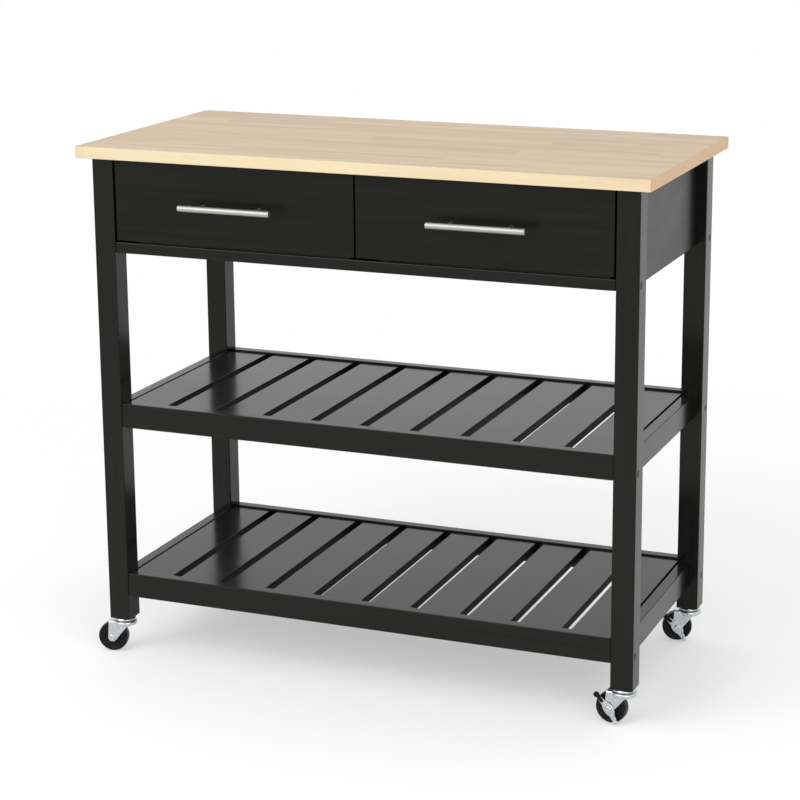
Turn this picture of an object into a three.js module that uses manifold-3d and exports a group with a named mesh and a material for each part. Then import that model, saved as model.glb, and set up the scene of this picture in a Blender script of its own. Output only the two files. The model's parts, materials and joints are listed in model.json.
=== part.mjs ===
// Kitchen cart: a butcher block top on four square legs, two drawers with bar pulls, two slatted
// shelves and four swivel casters, the two on the right with a brake lever.
// Millimetres, +Z up, front towards -Y, viewer's right towards +X. The origin is on the floor,
// under the middle of the cart's whole depth, pulls included, and under the middle of the top.

import * as THREE from 'three';
import { mergeVertices } from 'three/addons/utils/BufferGeometryUtils.js';
import Module from 'manifold-3d';

const wasm = await Module();
wasm.setup();

// ---- Overall ----
const cartHeight = 850;
const topLength = 940;
const topDepth = 450;
const topThickness = 19;
const topSideOverhang = 20;
const topFrontOverhang = 18;
const topRearOverhang = 18;

// ---- Boards ----
const legWidth = 36;
const boardThickness = 18;
const edgeChamfer = 1.2;
const slatChamfer = 0.5;
const jointGap = 0.3;
const faceSetback = 1;
const sideSetback = 16;

// ---- Drawer bay ----
const apronHeight = 152;
const drawerRailHeight = 18;
const dividerThickness = 12;
const runnerWidth = 20;
const runnerHeight = 12;
const runnerRise = 8.5;

// ---- Shelves ----
const middleShelfHeight = 428;
const lowerShelfHeight = 139;
const shelfRailHeight = 40;
const shelfLip = 3;
const slatCount = 10;
const slatGap = 15;
const slatThickness = 13;
const endSlot = 3.5;
const slatLegClearance = 1.5;
const ledgeDepth = 14;
const ledgeHeight = 14;

// ---- Drawers ----
const drawerFrontThickness = 16;
const drawerSetback = 1.5;
const drawerSideGap = 3;
const drawerTopGap = 3;
const drawerBottomGap = 2.5;
const drawerMiddleGap = 2.5;
const boxWall = 12;
const boxHeight = 95;
const boxSideClearance = 5;
const boxMiddleClearance = 2;
const boxRearClearance = 15;
const runnerClearance = 0.5;
const bottomThickness = 4;
const bottomRaise = 8;

// ---- Bar pulls ----
const pullLength = 156;
const pullPostSpacing = 96;
const pullBarDiameter = 10;
const pullPostDiameter = 6;
const pullReach = 35;
const pullEndChamfer = 0.8;

// ---- Casters ----
const casterTrail = 20;
const wheelDiameter = 50;
const wheelWidth = 18;
const wheelShoulder = 3;
const wheelHubDiameter = 20;
const wheelRimDepth = 7;
const wheelDish = 2.5;
const wheelSideClearance = 1;
const axleDiameter = 8;
const axleHeadDiameter = 11;
const axleHeadThickness = 2;
const runningClearance = 0.3;
const raceDiameter = 37;
const raceThickness = 5;
const crownDiameter = 39;
const crownThickness = 2.7;
const wheelTopClearance = 1.7;
const forkPlateThickness = 2.3;
const forkBossRadius = 7;
const forkHeelReach = 5;
const forkToeReach = 10;
const forkToeDrop = 1;
const kingPinDiameter = 8;
const kingPinHeadDiameter = 12;
const kingPinHeadThickness = 2.5;
const stemDiameter = 10;
const stemLength = 35;

// ---- Brake levers ----
const leverThickness = 2.5;
const leverHubRadius = 8;
const leverTipRadius = 4;
const leverTipThickness = 5;
const leverPedalAngle = 134;
const leverPedalReach = 29;
const leverHeelAngle = -58;
const leverHeelReach = 22;

// ---- Mesh fineness, and the depth by which joined or cut shapes reach past each other ----
const roundSegments = 28;
const smallRoundSegments = 16;
const cornerSegments = 3;
const bite = 1;

// ---- Finishes ----
const butcherBlock = { color: 0xd8bd92, roughness: 0.5, metalness: 0 };
const blackPaint = { color: 0x1b1b1a, roughness: 0.4, metalness: 0 };
const paleWood = { color: 0xcbb088, roughness: 0.7, metalness: 0 };
const brushedSteel = { color: 0xc9c6c0, roughness: 0.35, metalness: 1 };
const zincPlate = { color: 0xb8bcbe, roughness: 0.3, metalness: 1 };
const blackWheel = { color: 0x161616, roughness: 0.45, metalness: 0 };

// ---- Places worked out from the sizes above ----
const legSpanX = topLength - 2 * topSideOverhang;
const legSpanY = topDepth - topFrontOverhang - topRearOverhang;
const frontReach = Math.max(pullReach - drawerSetback, topFrontOverhang);
const envelopeDepth = frontReach + legSpanY + topRearOverhang;

const legOuterX = legSpanX / 2;
const legInnerX = legOuterX - legWidth;
const legFrontY = -envelopeDepth / 2 + frontReach;
const legRearY = legFrontY + legSpanY;
const frontBayY = legFrontY + legWidth;
const rearBayY = legRearY - legWidth;
const topUndersideZ = cartHeight - topThickness;
const apronTopZ = topUndersideZ - jointGap;
const apronBottomZ = topUndersideZ - apronHeight;
const drawerRailTopZ = apronBottomZ + drawerRailHeight;

const railFrontY = legFrontY + faceSetback;
const railFrontInnerY = railFrontY + boardThickness;
const railRearY = legRearY - faceSetback;
const railRearInnerY = railRearY - boardThickness;
const sideOuterX = legOuterX - sideSetback;
const sideInnerX = sideOuterX - boardThickness;

const drawerFaceY = legFrontY + drawerSetback;
const drawerFrontBackY = drawerFaceY + drawerFrontThickness;
const runnerTopZ = drawerRailTopZ + runnerRise;
const drawerRailDepth = legWidth;
const runnerFrontY = railFrontY + drawerRailDepth + jointGap;
const runnerRearY = railRearInnerY - jointGap;
const boxBottomZ = runnerTopZ + runnerClearance;

const slatFieldX = Math.min(legInnerX - slatLegClearance, sideInnerX - endSlot);
const slatWidth = (2 * slatFieldX - (slatCount - 1) * slatGap) / slatCount;

const axleX = -casterTrail;
const axleZ = wheelDiameter / 2;
const crownLowZ = wheelDiameter + wheelTopClearance;
const crownHighZ = crownLowZ + crownThickness;
const raceLowZ = crownHighZ + runningClearance;
const casterHeight = raceLowZ + raceThickness + jointGap;
const forkInnerY = wheelWidth / 2 + wheelSideClearance;
const forkOuterY = forkInnerY + forkPlateThickness;

// ---- Solids: joining and cutting ----

/** Turns a closed geometry into a manifold-3d solid. */
function toSolid(geometry) {
  const plain = geometry.clone();
  plain.deleteAttribute('normal');
  plain.deleteAttribute('uv');
  const merged = mergeVertices(plain, 1e-4);
  return new wasm.Manifold(new wasm.Mesh({
    numProp: 3,
    vertProperties: new Float32Array(merged.attributes.position.array),
    triVerts: new Uint32Array(merged.index.array),
  }));
}

/** Turns a manifold-3d solid back into a geometry. */
function toGeometry(solid) {
  const mesh = solid.getMesh();
  const geometry = new THREE.BufferGeometry();
  geometry.setAttribute('position', new THREE.BufferAttribute(mesh.vertProperties, 3));
  geometry.setIndex(new THREE.BufferAttribute(mesh.triVerts, 1));
  geometry.computeVertexNormals();
  return geometry;
}

/** Joins the first list of geometries and cuts the second list out of them. */
function combine(added, removed = []) {
  let solid = toSolid(added[0]);
  for (const geometry of added.slice(1)) {
    solid = solid.add(toSolid(geometry));
  }
  for (const geometry of removed) {
    solid = solid.subtract(toSolid(geometry));
  }
  return toGeometry(solid);
}

// ---- Solids: basic shapes ----

/** A board between two opposite corners, with every edge chamfered. */
function board(low, high, chamfer = edgeChamfer) {
  const [sizeX, sizeY, sizeZ] = high.map((value, i) => value - low[i]);
  const c = chamfer;
  const outline = new THREE.Shape();
  outline.moveTo(2 * c, c);
  outline.lineTo(sizeX - 2 * c, c);
  outline.lineTo(sizeX - c, 2 * c);
  outline.lineTo(sizeX - c, sizeY - 2 * c);
  outline.lineTo(sizeX - 2 * c, sizeY - c);
  outline.lineTo(2 * c, sizeY - c);
  outline.lineTo(c, sizeY - 2 * c);
  outline.lineTo(c, 2 * c);
  outline.closePath();
  const geometry = new THREE.ExtrudeGeometry(outline, {
    depth: sizeZ - 2 * c,
    bevelEnabled: true,
    bevelThickness: c,
    bevelSize: c,
    bevelSegments: 1,
  });
  geometry.translate(low[0], low[1], low[2] + c);
  return geometry;
}

/** A plain box between two opposite corners. */
function block(low, high) {
  const size = high.map((value, i) => value - low[i]);
  const geometry = new THREE.BoxGeometry(...size);
  geometry.translate(...low.map((value, i) => value + size[i] / 2));
  return geometry;
}

/** An outline drawn in X and Z, extruded from yNear to yFar. */
function plateInXZ(outline, yNear, yFar) {
  const geometry = new THREE.ExtrudeGeometry(outline, {
    depth: yFar - yNear,
    bevelEnabled: false,
    curveSegments: cornerSegments * 3,
  });
  geometry.rotateX(Math.PI / 2);
  geometry.translate(0, yFar, 0);
  return geometry;
}

/** An upright round bar between two heights. */
function postZ(diameter, zLow, zHigh, segments = roundSegments) {
  const geometry = new THREE.CylinderGeometry(diameter / 2, diameter / 2, zHigh - zLow, segments);
  geometry.rotateX(Math.PI / 2);
  geometry.translate(0, 0, (zLow + zHigh) / 2);
  return geometry;
}

/** A round bar along Y between two depths, centred on x and z. */
function barY(diameter, x, z, yNear, yFar, segments = smallRoundSegments) {
  const geometry = new THREE.CylinderGeometry(diameter / 2, diameter / 2, yFar - yNear, segments);
  geometry.translate(x, (yNear + yFar) / 2, z);
  return geometry;
}

/** The outline round two circles: a link that narrows from one end to the other. */
function linkOutline(x0, z0, r0, x1, z1, r1) {
  const along = Math.atan2(z1 - z0, x1 - x0);
  const spread = Math.acos((r0 - r1) / Math.hypot(x1 - x0, z1 - z0));
  const outline = new THREE.Shape();
  outline.absarc(x0, z0, r0, along + spread, along - spread + 2 * Math.PI, false);
  outline.absarc(x1, z1, r1, along - spread, along + spread, false);
  outline.closePath();
  return outline;
}

// ---- The scene graph ----

const cart = new THREE.Group();
cart.name = 'kitchen_cart';

/** Adds one named sub-part to a group and returns its mesh. */
function addPart(name, geometry, finish, parent = cart) {
  const mesh = new THREE.Mesh(geometry, new THREE.MeshStandardMaterial(finish));
  mesh.name = name;
  parent.add(mesh);
  return mesh;
}

/** Corners for a box that is given on the right and wanted on either side of the middle. */
function onSide(side, xNear, xFar, yLow, yHigh, zLow, zHigh) {
  const xs = [side * xNear, side * xFar].sort((a, b) => a - b);
  return [[xs[0], yLow, zLow], [xs[1], yHigh, zHigh]];
}

const sides = [
  { name: 'left', sign: -1 },
  { name: 'right', sign: 1 },
];
const ends = [
  { name: 'front', y: legFrontY + legWidth / 2 },
  { name: 'rear', y: legRearY - legWidth / 2 },
];

// ---- Top ----

function makeTop() {
  const topFrontY = legFrontY - topFrontOverhang;
  const low = [-topLength / 2, topFrontY, topUndersideZ];
  const high = [topLength / 2, topFrontY + topDepth, cartHeight];
  addPart('table_top', board(low, high), butcherBlock);
}

// ---- Legs, each bored from below for a caster stem ----

function makeLegs() {
  for (const end of ends) {
    for (const side of sides) {
      const half = legWidth / 2;
      const post = board([-half, -half, casterHeight], [half, half, topUndersideZ - jointGap]);
      const boreTopZ = casterHeight + stemLength + jointGap;
      const bore = postZ(stemDiameter + 2 * jointGap, casterHeight - bite, boreTopZ, smallRoundSegments);
      const leg = addPart(`leg_${end.name}_${side.name}`, combine([post], [bore]), blackPaint);
      leg.position.set(side.sign * (legOuterX - half), end.y, 0);
    }
  }
}

// ---- Aprons, drawer rail and divider round the drawer bay ----

/** A side apron: a board between two legs, with the outer drawer runner along its foot. */
function makeSideAprons() {
  const yLow = frontBayY + jointGap;
  const yHigh = rearBayY - jointGap;
  for (const side of sides) {
    const panel = board(...onSide(side.sign, sideInnerX, sideOuterX, yLow, yHigh, apronBottomZ, apronTopZ));
    const runner = block(...onSide(
      side.sign, legInnerX - runnerWidth, sideInnerX + boardThickness / 2,
      Math.max(yLow + edgeChamfer, runnerFrontY), yHigh - edgeChamfer, runnerTopZ - runnerHeight, runnerTopZ,
    ));
    addPart(`side_apron_${side.name}`, combine([panel, runner]), blackPaint);
  }
}

function makeRearApron() {
  const xEnd = legInnerX - jointGap;
  const apron = board([-xEnd, railRearInnerY, apronBottomZ], [xEnd, railRearY, apronTopZ]);
  addPart('rear_apron', apron, blackPaint);
}

function makeDrawerRail() {
  const xEnd = legInnerX - jointGap;
  const low = [-xEnd, railFrontY, apronBottomZ];
  const high = [xEnd, railFrontY + drawerRailDepth, drawerRailTopZ];
  addPart('drawer_rail', board(low, high), blackPaint);
}

/** The divider between the drawers, with a runner for each drawer along its foot. */
function makeDivider() {
  const half = dividerThickness / 2;
  const footZ = runnerTopZ - runnerHeight;
  const footX = half + runnerWidth;
  const web = block([-half, runnerFrontY, footZ], [half, runnerRearY, apronTopZ]);
  const foot = block([-footX, runnerFrontY, footZ], [footX, runnerRearY, runnerTopZ]);
  addPart('drawer_divider', combine([web, foot]), blackPaint);
}

// ---- Shelves ----

/** A long shelf rail with the ledge that carries the slats; inward is +1 at the front, -1 behind. */
function makeLongRail(name, outerY, inward, slatTopZ) {
  const railTopZ = slatTopZ + shelfLip;
  const xEnd = legInnerX - jointGap;
  const innerY = outerY + inward * boardThickness;
  const ledgeTopZ = slatTopZ - slatThickness - jointGap;
  const middleY = outerY + (inward * boardThickness) / 2;
  const ledgeY = innerY + inward * ledgeDepth;
  const rail = board(
    [-xEnd, Math.min(outerY, innerY), railTopZ - shelfRailHeight],
    [xEnd, Math.max(outerY, innerY), railTopZ],
  );
  const ledge = block(
    [-slatFieldX, Math.min(middleY, ledgeY), ledgeTopZ - ledgeHeight],
    [slatFieldX, Math.max(middleY, ledgeY), ledgeTopZ],
  );
  addPart(name, combine([rail, ledge]), blackPaint);
}

function makeSlats(shelf, slatTopZ) {
  const yLow = railFrontInnerY + jointGap;
  const yHigh = railRearInnerY - jointGap;
  for (let i = 0; i < slatCount; i += 1) {
    const low = [0, yLow, slatTopZ - slatThickness];
    const high = [slatWidth, yHigh, slatTopZ];
    const slat = addPart(`${shelf}_slat_${i + 1}`, board(low, high, slatChamfer), blackPaint);
    slat.position.x = -slatFieldX + i * (slatWidth + slatGap);
  }
}

function makeShelf(shelf, slatTopZ) {
  makeLongRail(`${shelf}_front_rail`, railFrontY, 1, slatTopZ);
  makeLongRail(`${shelf}_rear_rail`, railRearY, -1, slatTopZ);
  for (const side of sides) {
    const corners = onSide(
      side.sign, sideInnerX, sideOuterX,
      frontBayY + jointGap, rearBayY - jointGap, slatTopZ - shelfRailHeight, slatTopZ,
    );
    addPart(`${shelf}_${side.name}_rail`, board(...corners), blackPaint);
  }
  makeSlats(shelf, slatTopZ);
}

// ---- Drawers ----

/** A bar pull: a round bar on two posts, its posts starting at y = 0 and reaching forward. */
function pullGeometry() {
  const barR = pullBarDiameter / 2;
  const half = pullLength / 2;
  const c = pullEndChamfer;
  const profile = [
    [0, -half], [barR - c, -half], [barR, -half + c],
    [barR, half - c], [barR - c, half], [0, half],
  ].map(([r, along]) => new THREE.Vector2(r, along));
  const bar = new THREE.LatheGeometry(profile, roundSegments);
  bar.rotateZ(-Math.PI / 2);
  bar.translate(0, -pullReach + barR, 0);
  const posts = [-1, 1].map((sign) => {
    const x = (sign * pullPostSpacing) / 2;
    return barY(pullPostDiameter, x, 0, -pullReach + barR, -jointGap);
  });
  return combine([bar, ...posts]);
}

function makeDrawer(side) {
  const frontOuterX = legInnerX - drawerSideGap;
  const frontInnerX = drawerMiddleGap / 2;
  const frontLowZ = drawerRailTopZ + drawerBottomGap;
  const frontHighZ = topUndersideZ - drawerTopGap;
  const front = board(...onSide(
    side.sign, frontInnerX, frontOuterX, drawerFaceY, drawerFrontBackY, frontLowZ, frontHighZ,
  ));
  addPart(`drawer_front_${side.name}`, front, blackPaint);

  const outerX = Math.min(legInnerX, sideInnerX) - boxSideClearance;
  const innerX = dividerThickness / 2 + boxMiddleClearance;
  const frontY = drawerFrontBackY + jointGap;
  const rearY = railRearInnerY - boxRearClearance;
  const topZ = boxBottomZ + boxHeight;
  const shell = block(...onSide(side.sign, innerX, outerX, frontY, rearY, boxBottomZ, topZ));
  const hollow = block(...onSide(
    side.sign, innerX + boxWall, outerX - boxWall,
    frontY - bite, rearY - boxWall, boxBottomZ - bite, topZ + bite,
  ));
  addPart(`drawer_box_${side.name}`, combine([shell], [hollow]), paleWood);

  const inset = boxWall + jointGap;
  const panelLowZ = boxBottomZ + bottomRaise;
  const panel = block(...onSide(
    side.sign, innerX + inset, outerX - inset, frontY, rearY - inset, panelLowZ, panelLowZ + bottomThickness,
  ));
  addPart(`drawer_bottom_${side.name}`, panel, paleWood);

  const pull = addPart(`pull_${side.name}`, pullGeometry(), brushedSteel);
  const pullX = (side.sign * (frontInnerX + frontOuterX)) / 2;
  pull.position.set(pullX, drawerFaceY, (frontLowZ + frontHighZ) / 2);
}

// ---- Casters: local origin on the floor under the swivel axis, wheel trailing towards -X ----

/** The fixed half of a caster: stem in the leg, bearing race under it, king pin below. */
function stemGeometry() {
  const stem = postZ(stemDiameter, casterHeight - bite, casterHeight + stemLength, smallRoundSegments);
  const race = postZ(raceDiameter, raceLowZ, casterHeight - jointGap);
  const headHighZ = crownLowZ - runningClearance;
  const headLowZ = headHighZ - kingPinHeadThickness;
  const pin = postZ(kingPinDiameter, headLowZ, raceLowZ + bite, smallRoundSegments);
  const head = postZ(kingPinHeadDiameter, headLowZ, headHighZ, smallRoundSegments);
  return combine([stem, race, pin, head]);
}

/** One cheek of the fork: a round boss at the axle, widening up to the crown. */
function forkCheekOutline() {
  const tangent = (x, z, turn) => {
    const dx = x - axleX;
    const dz = z - axleZ;
    return Math.atan2(dz, dx) + turn * Math.acos(forkBossRadius / Math.hypot(dx, dz));
  };
  const heelX = axleX - forkHeelReach;
  const toeZ = crownLowZ - forkToeDrop;
  const start = tangent(forkToeReach, toeZ, -1);
  const end = tangent(heelX, crownHighZ, 1) - 2 * Math.PI;
  const outline = new THREE.Shape();
  outline.moveTo(heelX, crownHighZ);
  outline.lineTo(forkToeReach, crownHighZ);
  outline.lineTo(forkToeReach, toeZ);
  outline.absarc(axleX, axleZ, forkBossRadius, start, end, true);
  outline.closePath();
  return outline;
}

/** The swivelling fork with its axle; braked is true where a lever shares the axle's near end. */
function forkGeometry(braked) {
  const crown = postZ(crownDiameter, crownLowZ, crownHighZ);
  const heelX = axleX - forkHeelReach;
  const bridge = block([heelX, -forkOuterY, crownLowZ], [0, forkOuterY, crownHighZ]);
  const nearCheek = plateInXZ(forkCheekOutline(), -forkOuterY, -forkInnerY);
  const farCheek = plateInXZ(forkCheekOutline(), forkInnerY, forkOuterY);
  const leverSpace = braked ? leverThickness + 2 * runningClearance : 0;
  const nearHeadY = -forkOuterY - leverSpace;
  const farY = forkOuterY + axleHeadThickness;
  const axle = barY(axleDiameter, axleX, axleZ, nearHeadY - axleHeadThickness, farY);
  const nearHead = barY(axleHeadDiameter, axleX, axleZ, nearHeadY - axleHeadThickness, nearHeadY);
  const farHead = barY(axleHeadDiameter, axleX, axleZ, forkOuterY - bite, farY);
  const pinHole = postZ(
    kingPinDiameter + 2 * runningClearance, crownLowZ - bite, crownHighZ + bite, smallRoundSegments,
  );
  return combine([crown, bridge, nearCheek, farCheek, axle, nearHead, farHead], [pinHole]);
}

/** The wheel: a tread with rounded shoulders, dished sides and a hub bored for the axle. */
function wheelGeometry() {
  const tyreR = wheelDiameter / 2;
  const boreR = axleDiameter / 2 + runningClearance;
  const half = wheelWidth / 2;
  const rimR = tyreR - wheelRimDepth;
  const hubR = wheelHubDiameter / 2;
  const floorY = half - wheelDish;
  const side = [[boreR, half], [hubR, half], [hubR + bite, floorY], [rimR - bite, floorY], [rimR, half]];
  for (let i = 0; i <= cornerSegments; i += 1) {
    const angle = (Math.PI / 2) * (1 - i / cornerSegments);
    const r = tyreR - wheelShoulder + wheelShoulder * Math.cos(angle);
    side.push([r, half - wheelShoulder + wheelShoulder * Math.sin(angle)]);
  }
  const lower = side.map(([r, along]) => [r, -along]);
  const loop = [...lower, ...side.reverse(), lower[0]];
  const profile = loop.map(([r, along]) => new THREE.Vector2(r, along));
  const geometry = new THREE.LatheGeometry(profile, roundSegments);
  geometry.translate(axleX, 0, axleZ);
  return geometry;
}

/** The brake lever: a pedal arm and a heel arm on one hub, turning on the axle's near end. */
function leverGeometry() {
  const yFar = -forkOuterY - runningClearance;
  const yNear = yFar - leverThickness;
  const arms = [[leverPedalAngle, leverPedalReach], [leverHeelAngle, leverHeelReach]];
  const pieces = [];
  for (const [degrees, reach] of arms) {
    const angle = THREE.MathUtils.degToRad(degrees);
    const tipX = axleX + reach * Math.cos(angle);
    const tipZ = axleZ + reach * Math.sin(angle);
    const outline = linkOutline(axleX, axleZ, leverHubRadius, tipX, tipZ, leverTipRadius);
    pieces.push(plateInXZ(outline, yNear, yFar));
    pieces.push(barY(2 * leverTipRadius, tipX, tipZ, yFar - leverTipThickness, yFar - bite));
  }
  const bore = barY(axleDiameter + 2 * runningClearance, axleX, axleZ, yNear - bite, yFar + bite);
  return combine(pieces, [bore]);
}

/** Builds one caster under a leg, turned about its swivel axis by yaw degrees. */
function makeCaster(place, x, y, yaw, braked) {
  const caster = new THREE.Group();
  caster.position.set(x, y, 0);
  caster.rotation.z = THREE.MathUtils.degToRad(yaw);
  cart.add(caster);
  addPart(`caster_stem_${place}`, stemGeometry(), zincPlate, caster);
  addPart(`caster_fork_${place}`, forkGeometry(braked), zincPlate, caster);
  addPart(`caster_wheel_${place}`, wheelGeometry(), blackWheel, caster);
  if (braked) {
    addPart(`brake_lever_${place}`, leverGeometry(), zincPlate, caster);
  }
}

// ---- Assembly ----

makeTop();
makeLegs();
makeSideAprons();
makeRearApron();
makeDrawerRail();
makeDivider();
makeShelf('middle_shelf', middleShelfHeight);
makeShelf('lower_shelf', lowerShelfHeight);
for (const side of sides) {
  makeDrawer(side);
}

const casterX = legOuterX - legWidth / 2;
makeCaster('front_left', -casterX, ends[0].y, 14, false);
makeCaster('front_right', casterX, ends[0].y, -7, true);
makeCaster('rear_left', -casterX, ends[1].y, 5, false);
makeCaster('rear_right', casterX, ends[1].y, 16, true);

export default cart;
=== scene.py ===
import json
import math

import bpy
import numpy as np
from mathutils import Matrix, Vector

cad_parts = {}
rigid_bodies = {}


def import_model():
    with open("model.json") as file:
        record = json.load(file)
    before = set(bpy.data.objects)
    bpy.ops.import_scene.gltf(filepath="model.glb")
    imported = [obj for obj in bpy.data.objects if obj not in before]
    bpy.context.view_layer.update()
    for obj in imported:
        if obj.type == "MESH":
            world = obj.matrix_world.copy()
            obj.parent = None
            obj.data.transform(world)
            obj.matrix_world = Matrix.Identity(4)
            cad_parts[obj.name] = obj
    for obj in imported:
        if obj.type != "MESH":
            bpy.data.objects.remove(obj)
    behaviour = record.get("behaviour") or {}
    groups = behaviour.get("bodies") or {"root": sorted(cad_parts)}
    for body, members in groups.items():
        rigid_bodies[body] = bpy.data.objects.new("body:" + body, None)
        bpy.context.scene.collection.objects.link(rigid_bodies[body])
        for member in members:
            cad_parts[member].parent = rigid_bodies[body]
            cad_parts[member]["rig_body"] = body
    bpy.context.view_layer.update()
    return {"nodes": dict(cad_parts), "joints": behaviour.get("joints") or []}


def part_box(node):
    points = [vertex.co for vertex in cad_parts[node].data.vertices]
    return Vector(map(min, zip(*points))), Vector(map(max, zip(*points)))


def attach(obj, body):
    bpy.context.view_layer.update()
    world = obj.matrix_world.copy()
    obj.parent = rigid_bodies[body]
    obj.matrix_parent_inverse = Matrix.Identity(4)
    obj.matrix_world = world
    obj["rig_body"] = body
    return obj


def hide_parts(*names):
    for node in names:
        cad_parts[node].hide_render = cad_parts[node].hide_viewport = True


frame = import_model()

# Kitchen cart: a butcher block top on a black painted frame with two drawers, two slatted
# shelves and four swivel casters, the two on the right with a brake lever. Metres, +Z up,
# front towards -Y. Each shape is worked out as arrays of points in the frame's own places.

scene = bpy.context.scene
MM = 0.001

# ---- Camera: a long lens from the front right, with a little shift ----

CAMERA_PLACE = (1.3233, -3.22205, 1.3683)
CAMERA_YAW, CAMERA_PITCH, CAMERA_ROLL = (math.radians(a) for a in (21.39, 13.33, -0.23))
CAMERA_LENS = 99.56
CAMERA_SENSOR = 36
CAMERA_SHIFT = (-0.05, -0.0875)


def make_camera():
    """Looks along +Y, turned left by the yaw and down by the pitch, then rolled a little."""
    data = bpy.data.cameras.new("studio_camera")
    camera = bpy.data.objects.new("studio_camera", data)
    scene.collection.objects.link(camera)
    data.sensor_width = CAMERA_SENSOR
    data.lens = CAMERA_LENS
    data.shift_x, data.shift_y = CAMERA_SHIFT
    turn = (
        Matrix.Rotation(CAMERA_YAW, 4, "Z")
        @ Matrix.Rotation(math.pi / 2 - CAMERA_PITCH, 4, "X")
        @ Matrix.Rotation(CAMERA_ROLL, 4, "Z")
    )
    camera.matrix_world = Matrix.Translation(CAMERA_PLACE) @ turn
    scene.camera = camera


make_camera()

# ---- Shapes worked out as arrays: a shell is (points, faces) of one closed surface ----


def tidy_shell(points, faces):
    """Merges points that coincide, drops faces that close up, and turns the shell outwards."""
    points = np.asarray(points, float).reshape(-1, 3)
    _, first, same = np.unique(
        np.round(points, 7), axis=0, return_index=True, return_inverse=True
    )
    same = same.reshape(-1)
    kept = []
    for face in faces:
        ring = [same[i] for i in face]
        ring = [v for i, v in enumerate(ring) if v != ring[i - 1]]
        if len(ring) > 2:
            kept.append(ring)
    points = points[first]
    fans = np.array([(f[0], f[i], f[i + 1]) for f in kept for i in range(1, len(f) - 1)])
    a, b, c = (points[fans[:, i]] for i in range(3))
    if np.einsum("ij,ij->i", a, np.cross(b, c)).sum() < 0:
        kept = [f[::-1] for f in kept]
    return points, kept


def grid_faces(rows, columns, around=False):
    """Four-sided faces between neighbouring rows of a grid whose columns join up in a ring."""
    r = np.arange(rows if around else rows - 1)[:, None]
    c = np.arange(columns)[None, :]
    r2, c2 = (r + 1) % rows, (c + 1) % columns
    corners = np.stack(np.broadcast_arrays(
        r * columns + c, r * columns + c2, r2 * columns + c2, r2 * columns + c
    ), -1)
    return corners.reshape(-1, 4).tolist()


def place(local, origin, axes):
    """Local coordinates carried into the frame: the origin plus each coordinate times its axis."""
    return np.asarray(origin, float) + np.asarray(local, float) @ np.asarray(axes, float)


UPRIGHT = ((1, 0, 0), (0, 1, 0), (0, 0, 1))


def plate(outline, normals, near, far, edge, origin=(0, 0, 0), axes=UPRIGHT, steps=3):
    """A plate with rounded edges: a quarter circle at each face, carried round the outline.

    Each point is the outline's point, less its outward normal times edge * (1 - cos a), at a
    height that follows edge * sin a; the two flat faces close it.
    """
    a = np.linspace(0, math.pi / 2, steps + 1)
    reach = edge * (np.cos(np.concatenate([-a[::-1], a])) - 1)
    height = np.concatenate([near + edge - edge * np.sin(a[::-1]), far - edge + edge * np.sin(a)])
    flat = outline[None] + normals[None] * reach[:, None, None]
    tall = np.broadcast_to(height[:, None, None], flat.shape[:2] + (1,))
    points = place(np.concatenate([flat, tall], -1), origin, axes)
    rows, columns = flat.shape[:2]
    last = (rows - 1) * columns
    caps = [list(range(columns))[::-1], list(range(last, last + columns))]
    return tidy_shell(points, grid_faces(rows, columns) + caps)


def board(low, high, edge=1.2 * MM, corner=None, steps=3):
    """A board between two corners: a rounded rectangle in X and Y with rounded edges above it.

    Each outline point is a corner's centre plus the corner radius times its direction.
    """
    low, high = np.minimum(low, high), np.maximum(low, high)
    corner = corner or edge
    quarter = np.linspace(0, math.pi / 2, steps + 1)
    angle = (np.arange(4)[:, None] * math.pi / 2 + quarter).reshape(-1)
    sign = np.repeat([[1, 1], [-1, 1], [-1, -1], [1, -1]], steps + 1, axis=0)
    normals = np.stack([np.cos(angle), np.sin(angle)], -1)
    centre, half = (low + high)[:2] / 2, (high - low)[:2] / 2
    outline = centre + sign * (half - corner) + normals * corner
    return plate(outline, normals, low[2], high[2], edge, steps=steps)


def turned(profile, origin, axes, segments=56):
    """A turned shape: each profile point (radius, distance) goes round the third axis.

    Each point is radius * (cos a, sin a) across the axis and the distance along it. A profile
    that ends on the axis closes there; any other joins up with its own start.
    """
    profile = np.asarray(profile, float)
    a = np.linspace(0, 2 * math.pi, segments, endpoint=False)
    circle = np.stack([np.cos(a), np.sin(a), np.zeros_like(a)], -1)
    along = profile[:, None, 1:] * np.array([0.0, 0.0, 1.0])
    points = place(profile[:, None, :1] * circle + along, origin, axes)
    ring = not (profile[0, 0] == 0 and profile[-1, 0] == 0)
    return tidy_shell(points, grid_faces(len(profile), segments, around=ring))


def soften(corners, cut, steps=4, ring=True):
    """A line of corners with each one rounded: a quadratic curve over the cut on either side.

    Each curve is (1-t)^2 A + 2t(1-t) P + t^2 B, where A and B lie at most cut from corner P.
    """
    p = np.asarray(corners, float)
    before, after = np.roll(p, 1, 0) - p, np.roll(p, -1, 0) - p
    cut = np.broadcast_to(np.asarray(cut, float), len(p)).copy()
    if not ring:
        cut[[0, -1]] = 0
    reach = []
    for side in (before, after):
        length = np.maximum(np.linalg.norm(side, axis=1), 1e-9)
        reach.append(p + side * (np.minimum(cut, 0.499 * length) / length)[:, None])
    t = np.linspace(0, 1, steps + 1)[None, :, None]
    a, m, b = reach[0][:, None], p[:, None], reach[1][:, None]
    curve = ((1 - t) ** 2 * a + 2 * t * (1 - t) * m + t**2 * b).reshape(-1, 2)
    keep = np.linalg.norm(curve - np.roll(curve, 1, 0), axis=1) > 1e-8
    return curve[keep]


def outward(outline):
    """Unit normals of a ring of points: its direction of travel turned clockwise."""
    travel = np.roll(outline, -1, 0) - np.roll(outline, 1, 0)
    normals = np.stack([travel[:, 1], -travel[:, 0]], -1)
    return normals / np.linalg.norm(normals, axis=1, keepdims=True)


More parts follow.
